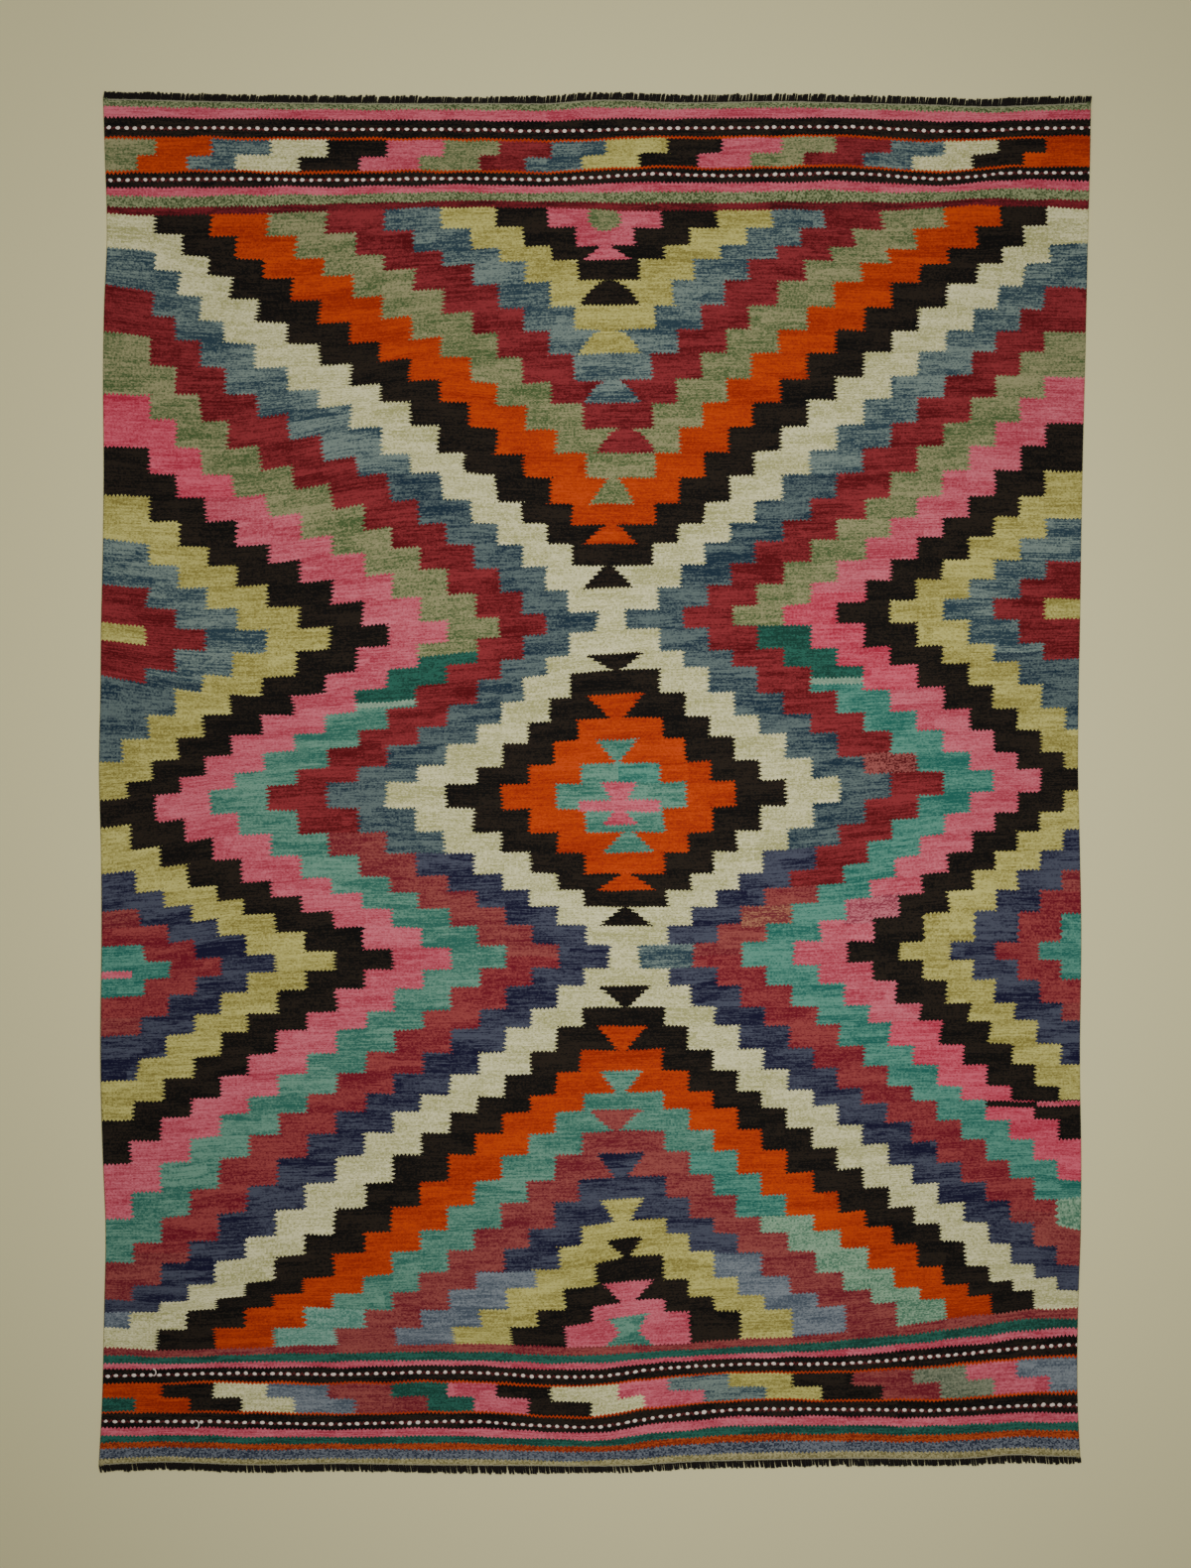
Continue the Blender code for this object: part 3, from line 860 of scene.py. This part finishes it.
def cloth_shares():
    """Shares of the width: close together over the selvedges and even between them."""
    selvedge = np.array([0.0, 1.0, 2.2, 3.6, 5.2, SELVEDGE_WIDTH]) / WARP_SPREAD
    middle = np.linspace(selvedge[-1], 1 - selvedge[-1], COLUMNS + 1)[1:-1]
    return np.concatenate([selvedge, middle, (1 - selvedge)[::-1]])


def even_depths(depths, cells):
    """Depths in even steps between the given ones, each of which is kept."""
    return [np.linspace(a, b, n + 1) for a, b, n in zip(depths, depths[1:], cells)]


def cloth_lines():
    """Line numbers of the rows of points, from the upper end to the lower one."""
    upper = np.concatenate([part[:-1] for part in even_depths(UPPER_DEPTHS, UPPER_CELLS)])
    lower = np.concatenate([part[1:] for part in even_depths(LOWER_DEPTHS, LOWER_CELLS)])
    above = (upper - UPPER_DEPTHS[-1]) / LINE_PITCH
    field = (np.arange(ROWS)[:, None] + ROW_SHARES).ravel()
    return np.concatenate([above, [0.0], field, [float(ROWS)], ROWS + lower / LINE_PITCH])


def weft_line(line, shares):
    """X and y of the points of one row: a warp's x depends on y and a weft's y on x, so each is
    worked out once more from the other."""
    y = weft_height(line, across(shares, 0.0))
    for _ in range(3):
        x = across(shares, y)
        y = weft_height(line, x)
    return x, y


def step_counts(line, x):
    """For a row of points, how many block steps lie between the pattern's middle and each point, to
    the left and to the right, and the distance from the middle."""
    at = float(np.clip(line, 0, ROWS))
    middle, *joins = [np.interp(at, column(JOINS, 0), column(JOINS, c)) for c in range(1, 10)]
    block = [np.interp(np.floor(at), BLOCK_ROWS, column(MIDDLE_BLOCKS, side)) for side in (0, 1)]
    left, right = [block[0], *joins[3::-1]], [block[1], *joins[4:]]
    offset = x - middle
    left_count = 1 + straight_through(left, STEPS, -offset)
    right_count = 1 + straight_through(right, STEPS, offset)
    return left_count, right_count, offset


def weft_rows(shares):
    """For every point, x and y, and three vectors for the dyes: its steps to the left and right and
    its line, then its places in the outer and the inner row of stepped blocks and its distance from
    the pattern's middle, then its places along the weft and along the warp in the weaver's measure."""
    rows = []
    counts = column(BLOCK_JOINS, 0)
    for line in cloth_lines():
        x, y = weft_line(line, shares)
        left, right, offset = step_counts(line, x)
        outer, inner = (1, 2) if line < ROWS / 2 else (4, 3)
        outer, inner = [straight_through(column(BLOCK_JOINS, c), counts, x) for c in (outer, inner)]
        pick = weft_height(line, np.array([MIDDLE_X]))[0]
        one = np.ones_like(x)
        field = [left, right, line * one]
        rows.append([x, y, *field, outer, inner, offset, shares * WARP_SPREAD, pick * one, 0 * one])
    return np.moveaxis(np.array(rows), 1, -1)


def woven_cloth(material):
    """The cloth is one closed sheet. Its face is the grid of warps and wefts at the cloth's own
    thickness above its underside, the underside follows the swells off the floor, and the two meet
    round the selvedges and along both ends."""
    shares = cloth_shares()
    table = weft_rows(shares)
    x, y = table[..., 0], table[..., 1]
    lift = swell(x, y)
    face = np.stack([x, y, lift + cloth_depth(shares)], axis=-1)
    # The underside turns up a little at the sides, so that a selvedge is round.
    tuck = np.interp(from_side(shares), [0, 1.4, 3.0], [1.0, 0.3, 0.0])
    under = np.stack([x, y, lift + tuck], axis=-1)
    points = np.concatenate([face, under[:, ::-1]], axis=1)
    rows, columns = points.shape[:2]
    faces = strip_faces(rows, columns, wrap_columns=True)[:, ::-1]
    # The two ends are closed with a strip between the face and the underside.
    c = np.arange(columns // 2 - 1)
    first = np.stack([c, c + 1, columns - 2 - c, columns - 1 - c], axis=-1)
    last = (first + (rows - 1) * columns)[:, ::-1]
    faces = np.concatenate([faces, first, last])
    both = np.concatenate([table, table[:, ::-1]], axis=1)
    attributes = {"field_chart": both[..., 2:5], "end_chart": both[..., 5:8], "thread": both[..., 8:]}
    return make_piece("woven_cloth", points, faces, material, attributes)


# ---- The overcast ends ----
STITCH_PITCH = 3.33
STITCH_HALF_WIDTH = 1.75
STITCH_HALF_DEPTH = 0.75
STITCH_LEAN = 1.8
STITCH_SIDES = 6
STITCH_ROOT = 2.0  # how far inside the cloth's end a stitch starts
PULL_RUNS = 90  # places along an end between which the pull of the yarn changes evenly
# A stitch is a flat loop of yarn round the cut end, seen from the side.
# (share of its reach, height of the yarn's middle)
STITCH_LOOP = (
    (0.00, 1.5), (0.06, 2.35), (0.45, 2.55), (0.84, 2.1),
    (1.00, 1.4), (0.88, 0.8), (0.45, 0.78), (0.08, 0.8),
)


def overcast_stitches(name, sections, outward, seed, material):
    """Loops of yarn side by side along a cut end: the yarn's flat oval section is carried round each
    loop, which leans a little and reaches as far out as the yarn was pulled. The oval's long half-
    axis lies along the end and its short one points away from the loop's middle."""
    rng = np.random.default_rng(seed)
    first, last = sections[0][0], sections[-1][0]
    count = int((last - first) / STITCH_PITCH)
    x = np.linspace(first + 1.0, last - 1.0, count) + rng.normal(0, 0.28, count)
    root = cloth_end(sections, x) - outward * STITCH_ROOT
    reach = (stitch_end(sections, x) - root) * outward
    # Some stitches are pulled tighter than their neighbours, in runs.
    pull = rng.uniform(-1.0, 0.5, PULL_RUNS)
    reach = reach + np.interp(x, np.linspace(first, last, PULL_RUNS), pull)
    reach = reach + rng.uniform(-2.6, 1.0, count) * rng.choice([0.3, 1.0], count, p=[0.4, 0.6])
    lean = STITCH_LEAN + rng.normal(0, 0.7, count)
    half_width = STITCH_HALF_WIDTH * rng.uniform(0.72, 1.15, count)

    # The arrays run over the stitches, then round the loop, then round the yarn.
    loop = np.array(STITCH_LOOP)
    share, height = loop[None, :, None, 0], loop[None, :, None, 1]
    # The loop is long and low, so its heights count for more in which way is out of it.
    away = (loop - loop.mean(axis=0)) * (0.35, 2.4)
    away = away / np.linalg.norm(away, axis=1, keepdims=True)
    angle = round_angles(STITCH_SIDES)
    thick = STITCH_HALF_DEPTH * away[None, :, None] * np.sin(angle)[:, None]
    x, root, reach, lean, half_width = [v[:, None, None] for v in (x, root, reach, lean, half_width)]
    px = x + lean * share + half_width * np.cos(angle)
    py = root + outward * (reach * share + thick[..., 0])
    pz = height + thick[..., 1] + swell(x, root) * 0.8
    copies = np.stack([px, py, pz], axis=-1).reshape(count, -1, 3)
    faces = strip_faces(len(loop), STITCH_SIDES, True, True)
    if outward < 0:
        faces = faces[:, ::-1]
    points, faces = repeat(faces, copies)
    return make_piece(name, points, faces, material)


CORD_STATIONS = 420
CORD_INSET = 2.7  # how far inside the cloth's end the cord's middle lies
# The cord's section. (distance outwards from its middle, height)
CORD_SECTION = np.array([(-0.8, 1.9), (-0.7, 2.4), (-0.1, 2.85), (0.6, 2.5), (0.8, 1.9)])


def cut_warp_ends(name, sections, outward, seed, material):
    """The undyed warps' turned ends: a thin pale cord along the cloth's end, beside the stitches. A
    closed profile is carried along the end, and how far it reaches out varies."""
    rng = np.random.default_rng(seed)
    x = np.linspace(sections[0][0] + 0.5, sections[-1][0] - 0.5, CORD_STATIONS)[:, None]
    base = cloth_end(sections, x)
    out, height = CORD_SECTION.T
    y = base + outward * (out - CORD_INSET + 0.45 * rng.uniform(-1, 1, x.shape))
    z = height + rng.uniform(-0.12, 0.12, x.shape) + swell(x, base)
    points = np.stack([np.broadcast_to(x, y.shape), y, z], axis=-1)
    size = len(CORD_SECTION)
    faces = strip_faces(CORD_STATIONS, size, wrap_columns=True)
    # Each end is closed with a four-cornered face and a three-cornered one beside it.
    caps, tips = np.array([[0, 1, 3, 4]]), np.array([[1, 2, 3]])
    if outward > 0:
        faces, caps, tips = faces[:, ::-1], caps[:, ::-1], tips[:, ::-1]
    end = (CORD_STATIONS - 1) * size
    closing = [caps[:, ::-1], tips[:, ::-1], caps + end, tips + end]
    return make_piece(name, points, faces, material, more_faces=closing)


# ---- White yarn ----
DOT_RINGS, DOT_SIDES = 4, 10
# (row of dots, y near which it runs)
DOT_HEIGHTS = ((1, 988.0), (2, 915.0), (3, -885.0), (4, -960.0))


def white_dots(material):
    """The white floats of the end bands: each is a low oval dome on the cloth's face. Its radius runs
    from nothing to full while its height falls from the crown as a quarter circle does."""
    rng = np.random.default_rng(11)
    count = int(WARP_SPREAD / DOT_PITCH)
    share = (np.arange(count) + 0.5) * DOT_PITCH / WARP_SPREAD
    t = np.linspace(0, np.pi / 2, DOT_RINGS)[:, None]
    angle = round_angles(DOT_SIDES)
    dome_x = (np.sin(t) * np.cos(angle)).ravel()
    dome_y = (np.sin(t) * np.sin(angle)).ravel()
    dome_z = np.repeat(np.cos(t), DOT_SIDES)
    faces = strip_faces(DOT_RINGS, DOT_SIDES, wrap_columns=True)[:, ::-1]
    copies = []
    for index, guess in DOT_HEIGHTS:
        x = across(share, guess)
        y = curve(DOT_ROWS, index, x)
        slope = (curve(DOT_ROWS, index, x + 2) - curve(DOT_ROWS, index, x - 2)) / 4
        x = x + rng.normal(0, 0.6, count)
        y = y + rng.normal(0, 0.5, count)
        half_x = rng.uniform(2.8, 4.0, count)[:, None]
        half_y = rng.uniform(2.1, 3.0, count)[:, None]
        tilt = (slope + rng.normal(0, 0.12, count))[:, None]
        px = x[:, None] + half_x * dome_x - half_y * dome_y * tilt
        py = y[:, None] + half_y * dome_y + half_x * dome_x * tilt
        pz = face_height(px, py) - 0.15 + 0.85 * dome_z
        copies.append(np.stack([px, py, pz], axis=-1))
    points, faces = repeat(faces, np.concatenate(copies))
    return make_piece("white_float_stitches", points, faces, material)


def carried_tube(path, radius, sides=8):
    """A round section carried along a path: each ring stands square to the path there. The rings at
    both ends shrink to close the tube."""
    along = np.gradient(path, axis=0)
    along /= np.linalg.norm(along, axis=1, keepdims=True)
    side = np.cross(along, (0.0, 0.0, 1.0))
    side /= np.linalg.norm(side, axis=1, keepdims=True)
    up = np.cross(side, along)
    angle = round_angles(sides)[None, :, None]
    size = np.full((len(path), 1, 1), radius)
    size[[0, -1]] = radius * 0.05
    ring = np.cos(angle) * side[:, None] + np.sin(angle) * up[:, None]
    points = (path[:, None] + ring * size).reshape(-1, 3)
    return points, strip_faces(len(path), sides, wrap_columns=True)


CURL_RADIUS = 0.9
# (x, y, half-width and half-height of the arc)
CURLS = ((-666.0, -891.0, 3.6, 4.8), (-602.0, -969.5, 4.6, 5.8))


def yarn_curls(material):
    """Two short ends of white yarn that curl on the lower band: each is an arc of an ellipse, open to
    the left, lying on the face."""
    t = np.linspace(0, 1, 22)
    bend = np.pi * (0.62 - 1.2 * t)
    copies = []
    for x, y, width, height in CURLS:
        px = x + width * np.cos(bend)
        py = y + height * np.sin(bend)
        pz = face_height(px, py) + CURL_RADIUS + 0.5 * np.sin(np.pi * t)
        tube, faces = carried_tube(np.column_stack([px, py, pz]), CURL_RADIUS)
        copies.append(tube)
    points, faces = repeat(faces, np.array(copies))
    return make_piece("yarn_curls", points, faces, material)


# ---- The set, in metres ----
FRAME_HIGH = 2.37  # how much of the floor the picture shows from top to bottom
PICTURE_MIDDLE = (0.001, -0.0018)  # the point of the rug that is in the middle of the photo
CAMERA_HEIGHT = 4.0
SENSOR_MM = 24.0
FLOOR_HALF = 6.0
FLOOR_DROP = 0.0004  # the floor lies this far under the rug, so that their faces don't mix
ROOM_LIGHT, ROOM_STRENGTH = (1.0, 0.98, 0.94, 1.0), 0.13
# (name, place, size along X and Y, power in watts, colour)
LIGHTS = (
    ("overhead_panel", (0.15, 0.0, 1.75), (0.6, 2.0), 25.5, (1.0, 0.98, 0.94)),
    ("side_panel", (-1.3, 1.2, 2.2), (0.9, 0.9), 6.0, (1.0, 0.97, 0.92)),
)


def make_camera():
    """Straight down over the middle of the picture, with the rug's upper end at the top."""
    data = bpy.data.cameras.new("camera")
    data.sensor_fit = "VERTICAL"
    data.sensor_height = SENSOR_MM
    data.lens = SENSOR_MM * CAMERA_HEIGHT / FRAME_HIGH
    camera = bpy.data.objects.new("camera", data)
    camera.location = (*PICTURE_MIDDLE, CAMERA_HEIGHT)
    bpy.context.scene.collection.objects.link(camera)
    bpy.context.scene.camera = camera


def make_floor():
    """A plain pale floor, matte, just under the rug. It gives the eye the rug's faint shadow."""
    mesh = bpy.data.meshes.new("pale_floor")
    signs = ((-1, -1), (1, -1), (1, 1), (-1, 1))
    corners = [(x * FLOOR_HALF, y * FLOOR_HALF, -FLOOR_DROP) for x, y in signs]
    mesh.from_pydata(corners, [], [(0, 1, 2, 3)])
    floor = bpy.data.objects.new("pale_floor", mesh)
    bpy.context.scene.collection.objects.link(floor)
    material, shader, _ = new_material("pale matte floor", 0.85)
    shader.inputs["Base Color"].default_value = linear("#fdf6bf")
    mesh.materials.append(material)


def make_room_light():
    """Soft even light from all round, which fills the shadows."""
    world = bpy.data.worlds.new("soft room light")
    world.use_nodes = True
    background = world.node_tree.nodes["Background"]
    background.inputs["Color"].default_value = ROOM_LIGHT
    background.inputs["Strength"].default_value = ROOM_STRENGTH
    bpy.context.scene.world = world


def make_light(name, place, size, power, colour):
    """A soft panel that faces the floor under it."""
    data = bpy.data.lights.new(name, "AREA")
    data.shape = "RECTANGLE"
    data.size, data.size_y = size
    data.energy = power
    data.color = colour
    lamp = bpy.data.objects.new(name, data)
    lamp.location = place
    lamp.visible_camera = False
    bpy.context.scene.collection.objects.link(lamp)


def main():
    make_camera()
    make_floor()
    make_room_light()
    for light in LIGHTS:
        make_light(*light)

    wool = dyed_wool()
    # Nearly black, so that the stitches close the rug with a dark rim.
    dark = spun_yarn("dark overcast wool yarn", "#1d1713", 0.92)
    # Greyish beige, the thin pale line beside that rim.
    undyed = spun_yarn("undyed warp yarn", "#a9a68c", 0.9)
    # Warm white, the brightest points of the end bands.
    white = spun_yarn("white wool yarn", "#fdeee2", 0.88)

    cloth = woven_cloth(wool)
    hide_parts("rug_cloth")
    upper = overcast_stitches("edging_stitches_upper", UPPER_SECTIONS, 1.0, 3, dark)
    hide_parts("edging_upper")
    lower = overcast_stitches("edging_stitches_lower", LOWER_SECTIONS, -1.0, 4, dark)
    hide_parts("edging_lower")
    fringe = [
        cut_warp_ends("warp_ends_upper", UPPER_SECTIONS, 1.0, 5, undyed),
        cut_warp_ends("warp_ends_lower", LOWER_SECTIONS, -1.0, 6, undyed),
        white_dots(white),
        yarn_curls(white),
    ]


main()
